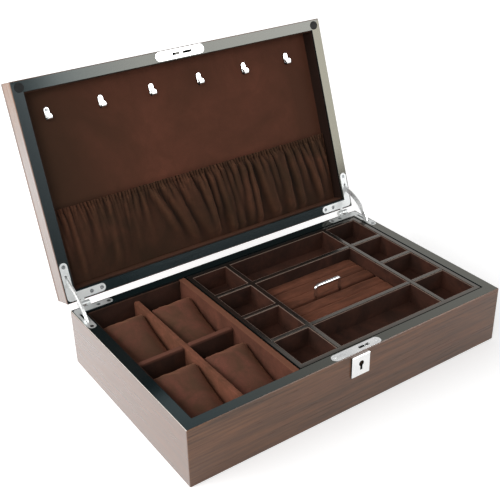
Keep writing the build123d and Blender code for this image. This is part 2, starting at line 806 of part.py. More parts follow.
with BuildPart() as key_plate:
    with BuildSketch(Plane.XZ.offset(half_width)):
        with Locations((0, case_height - key_plate_below_rim - key_plate_height / 2)):
            RectangleRounded(key_plate_width, key_plate_height, edge_break)
    extrude(amount=key_plate_thickness)
    front_face = key_plate.faces().sort_by(Axis.Y)[0]
    chamfer(front_face.edges(), length=edge_break)
    with BuildSketch(Plane.XZ.offset(half_width)):
        with Locations((0, key_height)):
            Circle(key_round)
        with Locations((0, key_height - key_slot_foot / 2)):
            Rectangle(key_slot_width, key_slot_foot)
    extrude(amount=key_plate_thickness, mode=Mode.SUBTRACT)
key_plate.part.label = "keyhole_plate"
export_step(key_plate.part, "parts/keyhole_plate.step")

# Lid frame, mitred like the case, with the seats for leaves, stays and catch plate
rail_height = lid_height - lid_top_thickness
for side in ("front", "back", "left", "right"):
    with BuildPart() as lid_rail:
        with BuildSketch(lid_level(lid_rim)):
            RectangleRounded(case_length, case_width, corner_round)
            Polygon(*mitred_board(side, case_length, case_width, wall), align=None, mode=Mode.INTERSECT)
        extrude(amount=rail_height)
        rim = outer_edges(lid_rail.part, lid_level(lid_rim), case_length, case_width, wall)
        chamfer(rim, length=edge_break)
        if side == "front":
            with BuildSketch(lid_level(lid_rim)):
                with Locations((0, plate_y)):
                    SlotOverall(catch_length + 2 * screw_clearance, plate_width + 2 * screw_clearance)
            extrude(amount=catch_thickness, mode=Mode.SUBTRACT)
            with BuildSketch(lid_level(lid_rim)):
                with Locations((0, plate_y)):
                    Rectangle(catch_pocket[0], catch_pocket[1])
            extrude(amount=catch_pocket[2] + catch_thickness, mode=Mode.SUBTRACT)
            catch_spots = flipped([(-plate_screw, plate_y), (plate_screw, plate_y)])
            with Locations(*spots(facing(lid_level(lid_rim + catch_thickness)), catch_spots)):
                Hole(screw_shank + screw_clearance, depth=screw_length - catch_thickness)
        else:
            with BuildSketch(lid_level(lid_rim)):
                for name, sign in sides:
                    if side in (name, "back"):
                        leaf_sketch(sign)
                        knuckle_sketch(sign, middle=True)
            extrude(amount=leaf_thickness, mode=Mode.SUBTRACT)
            for name, sign in sides:
                if side not in (name, "back"):
                    continue
                holes = [p for p in leaf_screws(sign) if (abs(p[0]) > inner_x) == (side != "back")]
                with Locations(*spots(facing(lid_level(lid_rim + leaf_thickness)), flipped(holes))):
                    Hole(screw_shank + screw_clearance, depth=screw_length - leaf_thickness)
        for name, sign in sides:
            if side == name:
                with BuildSketch(lid_level(lid_rim)):
                    with Locations((sign * stay_x, pivot_y - (lid_slot_front + lid_slot_back) / 2)):
                        Rectangle(lid_mortise_width, lid_slot_front - lid_slot_back + 1)
                extrude(amount=lid_slot_depth, mode=Mode.SUBTRACT)
    lid_rail.part.label = "lid_" + side + "_rail"
    export_step(lid_rail.part, "parts/lid_" + side + "_rail.step")

panel_inside = lid_rim + rail_height
hook_row = [((index - (hook_count - 1) / 2) * hook_pitch - hook_row_left_of_middle,
             hook_from_front_edge - half_width) for index in range(hook_count)]
with BuildPart() as lid_panel:
    with BuildSketch(lid_level(panel_inside)):
        RectangleRounded(case_length, case_width, corner_round)
    extrude(amount=lid_top_thickness)
    with BuildSketch(lid_level(panel_inside)):
        with Locations(*hook_row):
            Circle(hook_screw_shank + screw_clearance)
    extrude(amount=hook_screw_length - hook_strip - lid_board, mode=Mode.SUBTRACT)
    outside = lid_level(panel_inside + lid_top_thickness)
    rim = outer_edges(lid_panel.part, outside, case_length, case_width, wall)
    chamfer(rim, length=edge_break)
lid_panel.part.label = "lid_top_panel"
export_step(lid_panel.part, "parts/lid_top_panel.step")

# Covered board and side linings inside the lid
board_face = panel_inside - lid_board
with BuildPart() as lining_board:
    with BuildSketch(lid_level(board_face)):
        Rectangle(2 * inner_x, 2 * inner_y)
        with Locations(*hook_row):
            Circle(hook_screw_shank + screw_clearance, mode=Mode.SUBTRACT)
    extrude(amount=lid_board)
lining_board.part.label = "lid_lining_board"
export_step(lining_board.part, "parts/lid_lining_board.step")

lining_low = lid_rim + lid_lining_below_rim
with BuildPart() as lid_linings:
    with BuildSketch(lid_level(lining_low)):
        for sign in (-1, 1):
            with Locations((0, sign * (inner_y - lid_side_lining / 2))):
                Rectangle(2 * inner_x, lid_side_lining)
    extrude(amount=board_face - lining_low)
    with BuildSketch(lid_level(lining_low)):
        for sign in (-1, 1):
            with Locations((sign * (inner_x - lid_side_lining / 2), 0)):
                Rectangle(lid_side_lining, 2 * (inner_y - lid_side_lining) - 2 * screw_clearance)
    extrude(amount=board_face - lining_low)
lid_linings.part.label = "lid_side_linings"
export_step(lid_linings.part, "parts/lid_side_linings.step")

# Gathered pocket across the hinge side of the lid, here a plain sheet
with BuildPart() as pocket:
    with BuildSketch(lid_level(board_face - pocket_gap - pocket_sheet)):
        with Locations((0, inner_y - lid_side_lining - pocket_height / 2)):
            Rectangle(2 * (inner_x - lid_side_lining), pocket_height)
    extrude(amount=pocket_sheet)
pocket.part.label = "lid_pocket"
export_step(pocket.part, "parts/lid_pocket.step")

# Row of six chain hooks, each a bent strip held by one screw, its mouth towards the lid's front edge
strip_middle = -hook_strip / 2
with BuildPart() as hook_shape:
    with BuildLine(Plane.YZ):
        back = Line((-hook_above_screw, strip_middle), (hook_below_screw, strip_middle))
        bend = ThreePointArc(back @ 1, (hook_below_screw + hook_bend, strip_middle - hook_bend),
                             (hook_below_screw, strip_middle - 2 * hook_bend))
        Line(bend @ 1, (hook_below_screw - hook_finger, strip_middle - 2 * hook_bend))
    with BuildSketch(Plane(origin=(0, -hook_above_screw, strip_middle), x_dir=(1, 0, 0), z_dir=(0, 1, 0))):
        Rectangle(hook_width, hook_strip)
    sweep()
    corners = hook_shape.edges().filter_by(Axis.Z)
    fillet(corners, radius=hook_width / 2 - screw_clearance)
    with BuildSketch(Plane.XY):
        Circle(hook_screw_shank + screw_clearance)
    extrude(amount=-hook_strip, mode=Mode.SUBTRACT)
with BuildPart() as chain_hooks:
    with Locations(*spots(lid_level(board_face), hook_row)):
        add(hook_shape.part)
chain_hooks.part.label = "chain_hooks"
export_step(chain_hooks.part, "parts/chain_hooks.step")

with BuildPart() as hook_screw_shape:
    with BuildSketch(Plane.XZ):
        Polygon((0, -hook_screw_dome), (hook_screw_head * hook_screw_flat, -hook_screw_dome),
                (hook_screw_head, -hook_screw_dome / 3), (hook_screw_head, 0), (hook_screw_shank, 0),
                (hook_screw_shank, hook_screw_length), (0, hook_screw_length), align=None)
    revolve(axis=Axis.Z)
    with BuildSketch(Plane.XY.offset(-hook_screw_dome)):
        Rectangle(hook_screw_head * recess_length, hook_screw_head * recess_width)
        Rectangle(hook_screw_head * recess_width, hook_screw_head * recess_length)
    extrude(amount=hook_screw_dome / 2, mode=Mode.SUBTRACT)
with BuildPart() as hook_screws:
    with Locations(*spots(lid_level(board_face - hook_strip), hook_row)):
        add(hook_screw_shape.part)
hook_screws.part.label = "hook_screws"
export_step(hook_screws.part, "parts/hook_screws.step")

# Catch plate, its screws and the two bumpers on the lid rim
with BuildPart() as catch_plate:
    with BuildSketch(lid_level(lid_rim)):
        with Locations((0, plate_y)):
            SlotOverall(catch_length, plate_width)
        for centre, length in catch_slots:
            with Locations((centre, plate_y)):
                Rectangle(length, bolt_slot_width, mode=Mode.SUBTRACT)
    extrude(amount=catch_thickness)
    with Locations(*spots(facing(lid_level(lid_rim)), catch_spots)):
        CounterSinkHole(screw_shank + screw_clearance, screw_head + screw_clearance)
catch_plate.part.label = "catch_plate"
export_step(catch_plate.part, "parts/catch_plate.step")

with BuildPart() as catch_screws:
    with Locations(*spots(facing(lid_level(lid_rim)), catch_spots)):
        add(hinge_screw)
catch_screws.part.label = "catch_screws"
export_step(catch_screws.part, "parts/catch_screws.step")

with BuildPart() as bumpers:
    with BuildSketch(lid_level(lid_rim - bumper_thickness)):
        for sign in (-1, 1):
            with Locations((sign * (half_length - bumper_from_side), -half_width + bumper_from_front)):
                Circle(bumper_radius)
    extrude(amount=bumper_thickness)
bumpers.part.label = "lid_bumpers"
export_step(bumpers.part, "parts/lid_bumpers.step")
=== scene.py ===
import math
import random

import bpy
from mathutils import Matrix, Vector, noise


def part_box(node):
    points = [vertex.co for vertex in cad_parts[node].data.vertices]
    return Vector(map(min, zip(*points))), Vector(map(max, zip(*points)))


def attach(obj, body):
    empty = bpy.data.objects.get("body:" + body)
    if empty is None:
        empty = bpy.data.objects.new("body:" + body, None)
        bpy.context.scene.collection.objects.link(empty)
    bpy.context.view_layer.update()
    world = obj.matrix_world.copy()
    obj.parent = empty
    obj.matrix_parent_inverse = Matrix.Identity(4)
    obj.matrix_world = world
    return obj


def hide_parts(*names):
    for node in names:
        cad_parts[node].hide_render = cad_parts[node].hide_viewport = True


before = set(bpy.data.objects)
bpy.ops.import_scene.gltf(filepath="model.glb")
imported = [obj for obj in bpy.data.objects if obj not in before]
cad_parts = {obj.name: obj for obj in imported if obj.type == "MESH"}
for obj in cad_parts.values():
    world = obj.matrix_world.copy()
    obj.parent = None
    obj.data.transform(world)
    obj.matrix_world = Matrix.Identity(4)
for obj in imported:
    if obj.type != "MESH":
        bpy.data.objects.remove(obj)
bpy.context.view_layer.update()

# Case walls. Four fibreboard boards glued at mitred corners and faced outside with dark walnut veneer,
# glossier on the end walls. Their inside faces and the rim are sprayed black, and the black stops in a clean
# line at the broken edge, where the end walls carry a pale painted highlight.

MM = 0.001
case_half_length = 177.5 * MM
case_half_width = 106.5 * MM
joint_height = 59.3 * MM
lid_skin_height = 20.0 * MM
veneer_depth = 0.7 * MM
black_edge = 0.05 * MM
painted_edge_highlight = 0.6 * MM
grain_stretch = 0.045
# Where the painted reflection turns from bluish to warm, and where it starts to grow stronger.
cast_left, cast_right = -170 * MM, -40 * MM
stronger_reflection_from = 160 * MM
weld_reach = 0.004 * MM
sharp_angle = math.radians(32)


def shade(written):
    """A colour as amounts of light, from the six figures that name it."""
    parts = [int(written[i:i + 2], 16) / 255 for i in (0, 2, 4)]
    return tuple(p / 12.92 if p <= 0.04045 else ((p + 0.055) / 1.055) ** 2.4 for p in parts)


class Recipe:
    """Short ways to write the nodes of one finish, or of the tent's light."""

    def __init__(self, tree):
        self.tree = tree

    def fill(self, socket, value):
        """Sets a socket to a number or a colour, or links another node's output to it."""
        if isinstance(value, bpy.types.NodeSocket):
            self.tree.links.new(value, socket)
        elif hasattr(socket.default_value, "__len__") and len(socket.default_value) == 4:
            socket.default_value = (*value[:3], 1)
        else:
            socket.default_value = value

    def add(self, kind, sockets, give=0, **settings):
        """Adds a node and gives one of its outputs."""
        made = self.tree.nodes.new("ShaderNode" + kind)
        for key, value in settings.items():
            setattr(made, key, value)
        for key, value in sockets.items():
            self.fill(made.inputs[key], value)
        return made.outputs[give]

    def place(self):
        """The place on the box, in metres."""
        return self.add("TexCoord", {}, give="Object")

    def axis(self, place, number):
        """One of the three parts of a place or a direction."""
        return self.add("SeparateXYZ", {0: place}, give=number)

    def cloud(self, place, scale, detail=2.0, roughness=0.5, distortion=0.0):
        """Soft random spots, from 0 to 1. The higher the scale is, the smaller they are."""
        return self.add("TexNoise", {"Vector": place, "Scale": scale, "Detail": detail,
                                     "Roughness": roughness, "Distortion": distortion})

    def reckon(self, operation, first, second=0.0):
        """A sum, product or comparison of two values."""
        return self.add("Math", {0: first, 1: second}, operation=operation)

    def blend(self, share, first, second):
        """A mix of two colours."""
        return self.add("Mix", {0: share, 6: first, 7: second}, give=2, data_type="RGBA")

    def spread(self, value, low, high, to_low=0.0, to_high=1.0):
        """A value brought from one range to another, and held within it."""
        return self.add("MapRange", {0: value, 1: low, 2: high, 3: to_low, 4: to_high})

    def coat(self, **sockets):
        """Sets the shader's sockets, named with underscores."""
        shader = self.tree.nodes["Principled BSDF"]
        for key, value in sockets.items():
            self.fill(shader.inputs[key.replace("_", " ").title().replace("Ior", "IOR")], value)

    def bump(self, height, depth, strength):
        """Small bumps in the surface, some metres deep."""
        self.coat(normal=self.add("Bump", {"Height": height, "Distance": depth, "Strength": strength}))


def new_finish(name):
    """A new finish and the recipe to write it with."""
    finish = bpy.data.materials.new(name)
    finish.use_nodes = True
    return finish, Recipe(finish.node_tree)


def ease(names, finish, width, turns=2):
    """Gives CAD nodes a finish and takes the sharpness off their edges, as sanding or pressing does."""
    for name in names:
        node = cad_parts[name]
        mesh = node.data
        if "custom_normal" in mesh.attributes:
            mesh.attributes.remove(mesh.attributes["custom_normal"])
        mesh.materials.clear()
        mesh.materials.append(finish)
        for face in mesh.polygons:
            face.use_smooth = width > 0
        if not width:
            continue
        weld = node.modifiers.new("weld", "WELD")
        weld.merge_threshold = weld_reach
        bevel = node.modifiers.new("eased edges", "BEVEL")
        bevel.width = width
        bevel.segments = turns
        bevel.limit_method = "ANGLE"
        bevel.angle_limit = sharp_angle
        bevel.harden_normals = True


def painted_reflection_tint(mix, place, left="cbebf2", right="fff9e2"):
    """A painted reflection: the tint of the black lacquer's shine, bluish at the left and warmer at the
    right.
    """
    return mix.blend(mix.spread(mix.axis(place, 0), cast_left, cast_right), shade(left), shade(right))


def painted_reflection_level(mix, place, level):
    """A painted reflection: the lacquer's shine is made stronger towards the right."""
    return mix.spread(mix.axis(place, 0), 0.0, stronger_reflection_from, level, min(1.0, 1.3 * level))


def veneer(name, along, glare, turned=None, rubbed=None, polished=0.0, **cast):
    """Walnut veneer on the outer faces of the box, and black lacquer on all the others.

    The grain runs along axis 0 or 1, and glare says how much its lacquer shines. turned lays the open lid
    back on the case, rubbed thins the lacquer towards the front, and polished is the width of a painted
    highlight, a pale line at the joint.
    """
    finish, mix = new_finish(name)
    place = mix.place()
    if turned:
        place = mix.add("Mapping", {"Vector": place, "Location": turned[0], "Rotation": (turned[1], 0, 0)})
    stretch = [1.0, 1.0, 1.0]
    stretch[along] = grain_stretch
    board = mix.add("Mapping", {"Vector": place, "Scale": stretch, "Location": (0.31, 0.17, 0.53 + along)})
    figure = mix.cloud(board, 75, 4, 0.55, 0.35)
    streaks = mix.cloud(board, 420, 3, 0.6)
    pores = mix.cloud(board, 1500)
    tone = mix.cloud(board, 16)
    wood = mix.blend(mix.spread(figure, 0.34, 0.66), shade("4c3420"), shade("764c31"))
    layers = (
        (streaks, 0.44, 0.68, 0.6, "966542"),
        (tone, 0.42, 0.62, 0.4, "5a4639"),
        (pores, 0.56, 0.72, 0.45, "2c1a12"),
    )
    for spots, start, full, most, colour in layers:
        wood = mix.blend(mix.spread(spots, start, full, 0.0, most), wood, shade(colour))
    wood = mix.blend(0.6 * glare, wood, shade("64493c"))

    x, y, z = (mix.axis(place, number) for number in range(3))
    over_x = mix.reckon("GREATER_THAN", mix.reckon("ABSOLUTE", x), case_half_length - veneer_depth)
    over_y = mix.reckon("GREATER_THAN", mix.reckon("ABSOLUTE", y), case_half_width - veneer_depth)
    over_z = mix.reckon("GREATER_THAN", z, joint_height + lid_skin_height)
    outside = mix.reckon("MAXIMUM", mix.reckon("MAXIMUM", over_x, over_y), over_z)
    from_joint = mix.reckon("ABSOLUTE", mix.reckon("SUBTRACT", z, joint_height))
    skin = mix.reckon("MULTIPLY", outside, mix.reckon("GREATER_THAN", from_joint, black_edge))
    shine = mix.reckon("MULTIPLY", skin, glare)
    # A painted highlight: a pale line along the broken edge at the joint.
    if polished:
        wood = mix.blend(mix.reckon("LESS_THAN", from_joint, polished), wood, shade("c6beb3"))
    if rubbed:
        start, stop, least = rubbed
        shine = mix.reckon("MULTIPLY", shine, mix.spread(y, start, stop, least, 1.0))
        wood = mix.blend(mix.spread(y, start, stop, 0.7, 0.0), wood, shade("8f6546"))

    black = mix.blend(mix.cloud(place, 30, 5), shade("0b1517"), shade("121e20"))
    dull = mix.reckon("MULTIPLY", skin, mix.reckon("MULTIPLY", streaks, 0.3))
    # The black parts get a painted reflection, tinted from left to right and stronger towards the right.
    level = mix.add("Mix", {0: skin, 2: painted_reflection_level(mix, place, 0.78), 3: 0.1 + 0.4 * glare})
    mix.coat(base_color=mix.blend(skin, black, wood), roughness=mix.spread(dull, 0.0, 0.3, 0.14, 0.5),
             specular_ior_level=level,
             specular_tint=mix.blend(skin, painted_reflection_tint(mix, place, **cast), shade("ffffff")),
             coat_weight=shine, coat_roughness=0.16, coat_ior=1.62)
    mix.bump(mix.reckon("ADD", pores, streaks), 0.03 * MM, 0.5 - 0.4 * glare)
    return finish


front_grain = veneer("walnut_front_grain", 0, 0.3)
ease(("case_front_wall",), front_grain, 0.28 * MM, 3)
ease(("case_back_wall",), front_grain, 0.1 * MM, 3)
ease(("case_left_wall", "case_right_wall"), veneer("walnut_end_grain", 1, 0.95, polished=painted_edge_highlight),
     0.55 * MM, 3)

# Case bottom and its felt. A plain board let in between the walls, sprayed black, with a sheet of thin
# needled felt glued under it so that the box doesn't mark a table.


def lacquer(name, low, high, level, **cast):
    """Sprayed gloss lacquer: nearly even, with a faint orange-peel ripple."""
    finish, mix = new_finish(name)
    place = mix.place()
    drift = mix.cloud(place, 26, 4)
    peel = mix.cloud(place, 380)
    # Its reflection is painted, tinted from left to right and stronger towards the right.
    mix.coat(base_color=mix.blend(drift, shade(low), shade(high)),
             roughness=mix.spread(drift, 0.3, 0.7, 0.12, 0.2),
             specular_ior_level=painted_reflection_level(mix, place, level),
             specular_tint=painted_reflection_tint(mix, place, **cast))
    mix.bump(peel, 0.02 * MM, 0.35)
    return finish


black_lacquer = lacquer("black_lacquer", "0b1517", "121e20", 0.75)
ease(("case_bottom_board",), black_lacquer, 0.3 * MM)


def fibres(name, low, high, patch, nap, sheen, colour_band=None, combed=None, painted_fold_light=None):
    """Brushed fibre cloth: its colour drifts in patches, and short fibres catch the light.

    A colour band changes the colour along an axis from one place to another, and is also used to paint
    highlights on partition tops; combed stretches the patches along an axis; and the fold setting paints a
    highlight where the cloth stands out and shade in its folds.
    """
    finish, mix = new_finish(name)
    place = mix.place()
    if combed:
        place = mix.add("VectorMath", {0: place, 1: combed}, operation="MULTIPLY")
    drift = mix.cloud(place, patch, 4, 0.6, 0.6)
    brush = mix.cloud(place, patch * 6, 3, distortion=1.2)
    fuzz = mix.cloud(place, nap, 3, 0.7)
    cloth = mix.blend(mix.spread(drift, 0.36, 0.64), shade(low), shade(high))
    cloth = mix.blend(mix.spread(brush, 0.35, 0.7, 0.0, 0.45), cloth, shade(low))
    lit = mix.add("HueSaturation", {"Color": cloth, "Value": 1.5})
    cloth = mix.blend(mix.spread(fuzz, 0.3, 0.7, 0.0, 0.35), cloth, lit)
    if colour_band:
        number, start, stop, colour = colour_band
        cloth = mix.blend(mix.spread(mix.axis(place, number), start, stop, 0.0, 0.85), cloth, shade(colour))
    if painted_fold_light:
        relief = mix.add("Attribute", {}, give="Fac", attribute_name="relief")
        cloth = mix.add("HueSaturation", {"Color": cloth, "Value": mix.spread(relief, *painted_fold_light)})
    mix.coat(base_color=cloth, roughness=mix.spread(fuzz, 0.3, 0.7, 0.86, 1.0), specular_ior_level=0.15,
             sheen_weight=sheen, sheen_roughness=0.45, sheen_tint=shade("c98a6a"))
    mix.bump(mix.reckon("ADD", fuzz, brush), 0.16 * MM, 0.7)
    return finish


ease(("base_felt",), fibres("base_felt", "1c1c1e", "2c2b2d", 60, 1400, 0.1), 0.3 * MM)

# Compartment divider and storage linings. A board and four thinner ones, all wrapped in brown suede cloth
# glued round the edges; the divider stands in grooves and carries the lift-out tray's left side.

# The divider's lighter top edge is a painted highlight.
divider_painted_highlight = (2, 57.2 * MM, 58.1 * MM, "6c4534")
suede = fibres("brown_suede", "40291f", "563428", 34, 900, 0.3)
divider_suede = fibres("divider_suede", "4c2e24", "653d30", 45, 900, 0.35, colour_band=divider_painted_highlight)
ease(("compartment_divider",), divider_suede, 1.2 * MM, 3)
ease(("storage_lining_boards",), suede, 0.5 * MM)
# The watch side linings' suede is darker, as painted shade in the gaps behind the cushions.
ease(("watch_side_linings",), fibres("lining_suede", "2c1c15", "432920", 34, 900, 0.25), 0.5 * MM)

# Floor pads. Two sheets of thin foam under suede cloth, one under the tray and one under the watch
# cushions, cut a little full so that they crown in the middle and press on the linings round them.

pad_crown = 0.35 * MM
pad_ripple = 0.25 * MM
pad_round = 0.9 * MM
pad_cell = 4 * MM


def block_skin(counts):
    """The skin of a block ruled into cells, some each way: places from 0 to 1, and the faces between them."""
    found, places, faces = {}, [], []

    def corner(spot):
        if spot not in found:
            found[spot] = len(places)
            places.append([spot[i] / counts[i] for i in range(3)])
        return found[spot]

    for axis in range(3):
        a, b = [(1, 2), (2, 0), (0, 1)][axis]
        for side in (0, counts[axis]):
            for i in range(counts[a]):
                for j in range(counts[b]):
                    ring = []
                    for step in ((0, 0), (1, 0), (1, 1), (0, 1)):
                        spot = [0, 0, 0]
                        spot[axis], spot[a], spot[b] = side, i + step[0], j + step[1]
                        ring.append(corner(tuple(spot)))
                    faces.append(ring if side else ring[::-1])
    return places, faces


def rounded(place, size, radius):
    """A place on a block's skin, moved onto the same block with its edges rounded."""
    half = Vector(size) / 2
    spot = Vector([(place[i] - 0.5) * size[i] for i in range(3)])
    core = Vector([max(-half[i] + radius, min(half[i] - radius, spot[i])) for i in range(3)])
    out = spot - core
    return core + out.normalized() * radius if out.length > 1e-9 else spot


def new_piece(name, points, faces, finish):
    """A smooth mesh piece in the frame, not yet riding on anything."""
    mesh = bpy.data.meshes.new(name)
    mesh.from_pydata(points, [], faces)
    mesh.materials.append(finish)
    for face in mesh.polygons:
        face.use_smooth = True
    piece = bpy.data.objects.new(name, mesh)
    bpy.context.scene.collection.objects.link(piece)
    return piece


def refine(piece):
    """One round of smoothing subdivision."""
    finer = piece.modifiers.new("finer", "SUBSURF")
    finer.levels = finer.render_levels = 1
    return piece


for pad in ("storage_floor_pad", "watch_floor_pad"):
    low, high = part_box(pad)
    size = high - low
    places, faces = block_skin((round(size.x / pad_cell), round(size.y / pad_cell), 2))
    points = []
    for place in places:
        u, v, w = place
        spot = rounded(place, size, pad_round)
        lift = pad_crown * (16 * u * (1 - u) * v * (1 - v)) ** 0.5
        ripple = pad_ripple * noise.noise(Vector((u * 9, v * 9, 3)))
        points.append((low + high) / 2 + spot + Vector((0, 0, (lift + ripple) * w - pad_crown * w)))
    piece = refine(new_piece(pad + "_cover", points, faces, suede))
    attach(piece, "case")
    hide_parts(pad)

# Watch partitions. A long thin board and two short ones halved into it, wrapped in the same suede, whose
# tops are soft and round because the cloth is folded over them with a strip of foam. The long board's suede
# is a lighter, painted lit copy; the short boards' is a dark, painted shade copy with a painted highlight on
# top.

cross_painted_highlight = (2, 49.8 * MM, 52.2 * MM, "664034")
partition_round = 2.1 * MM
partition_suede_painted_lit = fibres("partition_suede_painted_lit", "573728", "744636", 60, 900, 0.45)
shaded_suede = fibres("shaded_suede", "2a1913", "3a2219", 60, 900, 0.3, colour_band=cross_painted_highlight)
ease(("long_partition",), partition_suede_painted_lit, partition_round, 5)
ease(("cross_partitions",), shaded_suede, partition_round, 5)

# Watch cushions. Four loose foam wedges in sewn suede covers, high at the back and low in front, which
# squeeze into a closed watch strap. The covers swell between the seams, so the sides pull in at the top.

cushion_width = 46.5 * MM
cushion_front_rise = 26.0 * MM
cushion_slack = 0.5 * MM
cushion_round = 2.0 * MM
cushion_crown = 1.6 * MM
cushion_waist = 0.09
cushion_cap = 2.3 * MM
cushion_ear_drop = 2.8 * MM
cushion_crease = 0.45 * MM
seam_lift, seam_reach = 0.1 * MM, 0.5 * MM
side_give, top_give = 0.1 * MM, 0.4 * MM
cushion_cells = (16, 22, 14)
blow_up_scale = 8.0
cushion_suede = fibres("cushion_suede", "4d3527", "653c31", 42, 1000, 0.45)


def wedge(places, low, high):
    """The cover as it is sewn: places on a block's skin brought onto a wedge with low ears and a waist."""
    size = high - low
    inner = Vector((cushion_width - 2 * cushion_slack, size.y - 1.4 * cushion_slack))
    points = []
    for place in places:
        spot = rounded(place, (inner.x, inner.y, inner.y), cushion_round)
        along = spot.y / inner.y + 0.5
        ears = cushion_ear_drop * (2 * place[0] - 1) ** 2
        tall = cushion_front_rise + (size.z - cushion_front_rise) * along
        tall += cushion_crown * 4 * along * (1 - along) - cushion_crown - ears
        rise = (spot.z / inner.y + 0.5) * tall
        waist = 1 - cushion_waist * math.sin(math.pi * along) ** 1.2 * (rise / tall) ** 2
        points.append(Vector(((low.x + high.x) / 2 + spot.x * waist,
                              (low.y + high.y) / 2 + spot.y, low.z + rise)))
    return points


def swell(piece, scale, cap, frames=20):
    """Blows a sewn cover up with Cloth at a workable size, then keeps each point within cap of its start."""
    start = [v.co.copy() for v in piece.data.vertices]
    middle = sum(start, Vector()) / len(start)
    for vertex, point in zip(piece.data.vertices, start):
        vertex.co = (point - middle) * scale
    cloth = piece.modifiers.new("cloth", "CLOTH")
    cloth.settings.quality = 6
    cloth.settings.mass = 0.15
    cloth.settings.tension_stiffness = 12
    cloth.settings.compression_stiffness = 12
    cloth.settings.bending_stiffness = 0.4
    cloth.settings.use_pressure = True
    cloth.settings.uniform_pressure_force = 4
    cloth.settings.effector_weights.gravity = 0
    cloth.point_cache.frame_start = 1
    cloth.point_cache.frame_end = frames
    for number in range(1, frames + 1):
        bpy.context.scene.frame_set(number)
    view = bpy.context.evaluated_depsgraph_get()
    swollen = [v.co.copy() for v in piece.evaluated_get(view).data.vertices]
    piece.modifiers.remove(cloth)
    bpy.context.scene.frame_set(1)
    for vertex, point, moved in zip(piece.data.vertices, start, swollen):
        shift = moved / scale + middle - point
        vertex.co = point + shift * min(1.0, cap / max(shift.length, 1e-9))


def crease(piece, places, low, high, seed):
    """Creases a cover's upper half, draws its top side seams out, and keeps it in the room that it has."""
    for vertex, place in zip(piece.data.vertices, places):
        point = vertex.co
        fold = noise.noise(Vector((point.x * 70, point.y * 45 + seed, point.z * 70)))
        point.z += cushion_crease * fold * (place[2] > 0.5)
        if place[2] > 0.999 and (place[0] < 0.001 or place[0] > 0.999):
            point.z += seam_lift
            point.x += seam_reach if place[0] > 0.5 else -seam_reach
        point.x = max(low.x - side_give, min(high.x + side_give, point.x))
        point.y = max(low.y, min(high.y, point.y))
        point.z = max(low.z, min(high.z + top_give, point.z))


for row in ("front", "back"):
    for side in ("left", "right"):
        name = row + "_" + side
        low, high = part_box("watch_cushion_" + name)
        places, faces = block_skin(cushion_cells)
        piece = new_piece("cushion_" + name, wedge(places, low, high), faces, cushion_suede)
        swell(piece, blow_up_scale, cushion_cap)
        crease(piece, places, low, high, seed=5 * (row == "back") + 2 * (side == "right"))
        refine(piece)
        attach(piece, "cushion_" + name)
        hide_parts("watch_cushion_" + name)

# Lift-out tray. Thin wooden walls and dividers sprayed gloss black, glued on a thin floor and finished
# so that only their top edges show between the covered liners. Their outer faces are painted shade: darker
# and dull, for the gap round the tray.

tray_walls = {
    "tray_front_wall": (0, -1),
    "tray_back_wall": (0, 1),
    "tray_left_wall": (-1, 0),
    "tray_right_wall": (1, 0),
}


def dull_black(name, low, high, patch, smooth, rough, level, depth, strength):
    """Rubber, or the tray walls' painted shade: black, with small spots that are duller than the rest."""
    finish, mix = new_finish(name)
    spots = mix.cloud(mix.place(), patch, 3)
    mix.coat(base_color=mix.blend(spots, shade(low), shade(high)),
             roughness=mix.spread(spots, 0.3, 0.7, smooth, rough), specular_ior_level=level)
    mix.bump(spots, depth, strength)
    return finish


def second_finish(name, finish, picked):
    """Gives a second finish to the faces of a CAD node that are picked."""
    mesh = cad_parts[name].data
    if len(mesh.materials) < 2:
        mesh.materials.append(finish)
    for face in mesh.polygons:
        if picked(face):
            face.material_index = 1


# The tray's lacquer reflection is painted, bluish at the left and warm at the right.
ease((*tray_walls, "tray_floor", "tray_column_divider_left", "tray_column_divider_right",
      "tray_cross_dividers"),
     lacquer("tray_lacquer", "161919", "251f1b", 0.9, left="cfe2e6", right="fff0e0"), 0.5 * MM, 3)
# The tray walls' outer faces get this painted shade finish, for the gap round the tray.
gap_shade_black = dull_black("tray_outer_faces_painted_shade", "040606", "0b0e0e", 120, 0.6, 0.8, 0.05, 0.01 * MM, 0.3)
for name, (out_x, out_y) in tray_walls.items():
    second_finish(name, gap_shade_black, lambda face: face.normal.x * out_x + face.normal.y * out_y > 0.3)

# Tray cell liners. Folded card trays covered in short dark suede and pushed into the cells; the cut card
# shows as a thin pale line along their top edges.

liner_top = 58.0 * MM
card_edge = (2, liner_top - 0.25 * MM, liner_top, "8a776c")
# The liners' suede is coloured darker than the linings', as painted shade in the deep cells.
ease(("tray_cell_liners",), fibres("liner_suede", "2a1913", "46291f", 40, 1000, 0.22, colour_band=card_edge),
     0.25 * MM)

# Ring rolls. Six foam strips wrapped in suede and laid side by side, three on each side of a wider slot, so
# that rings slip in between them and are held.

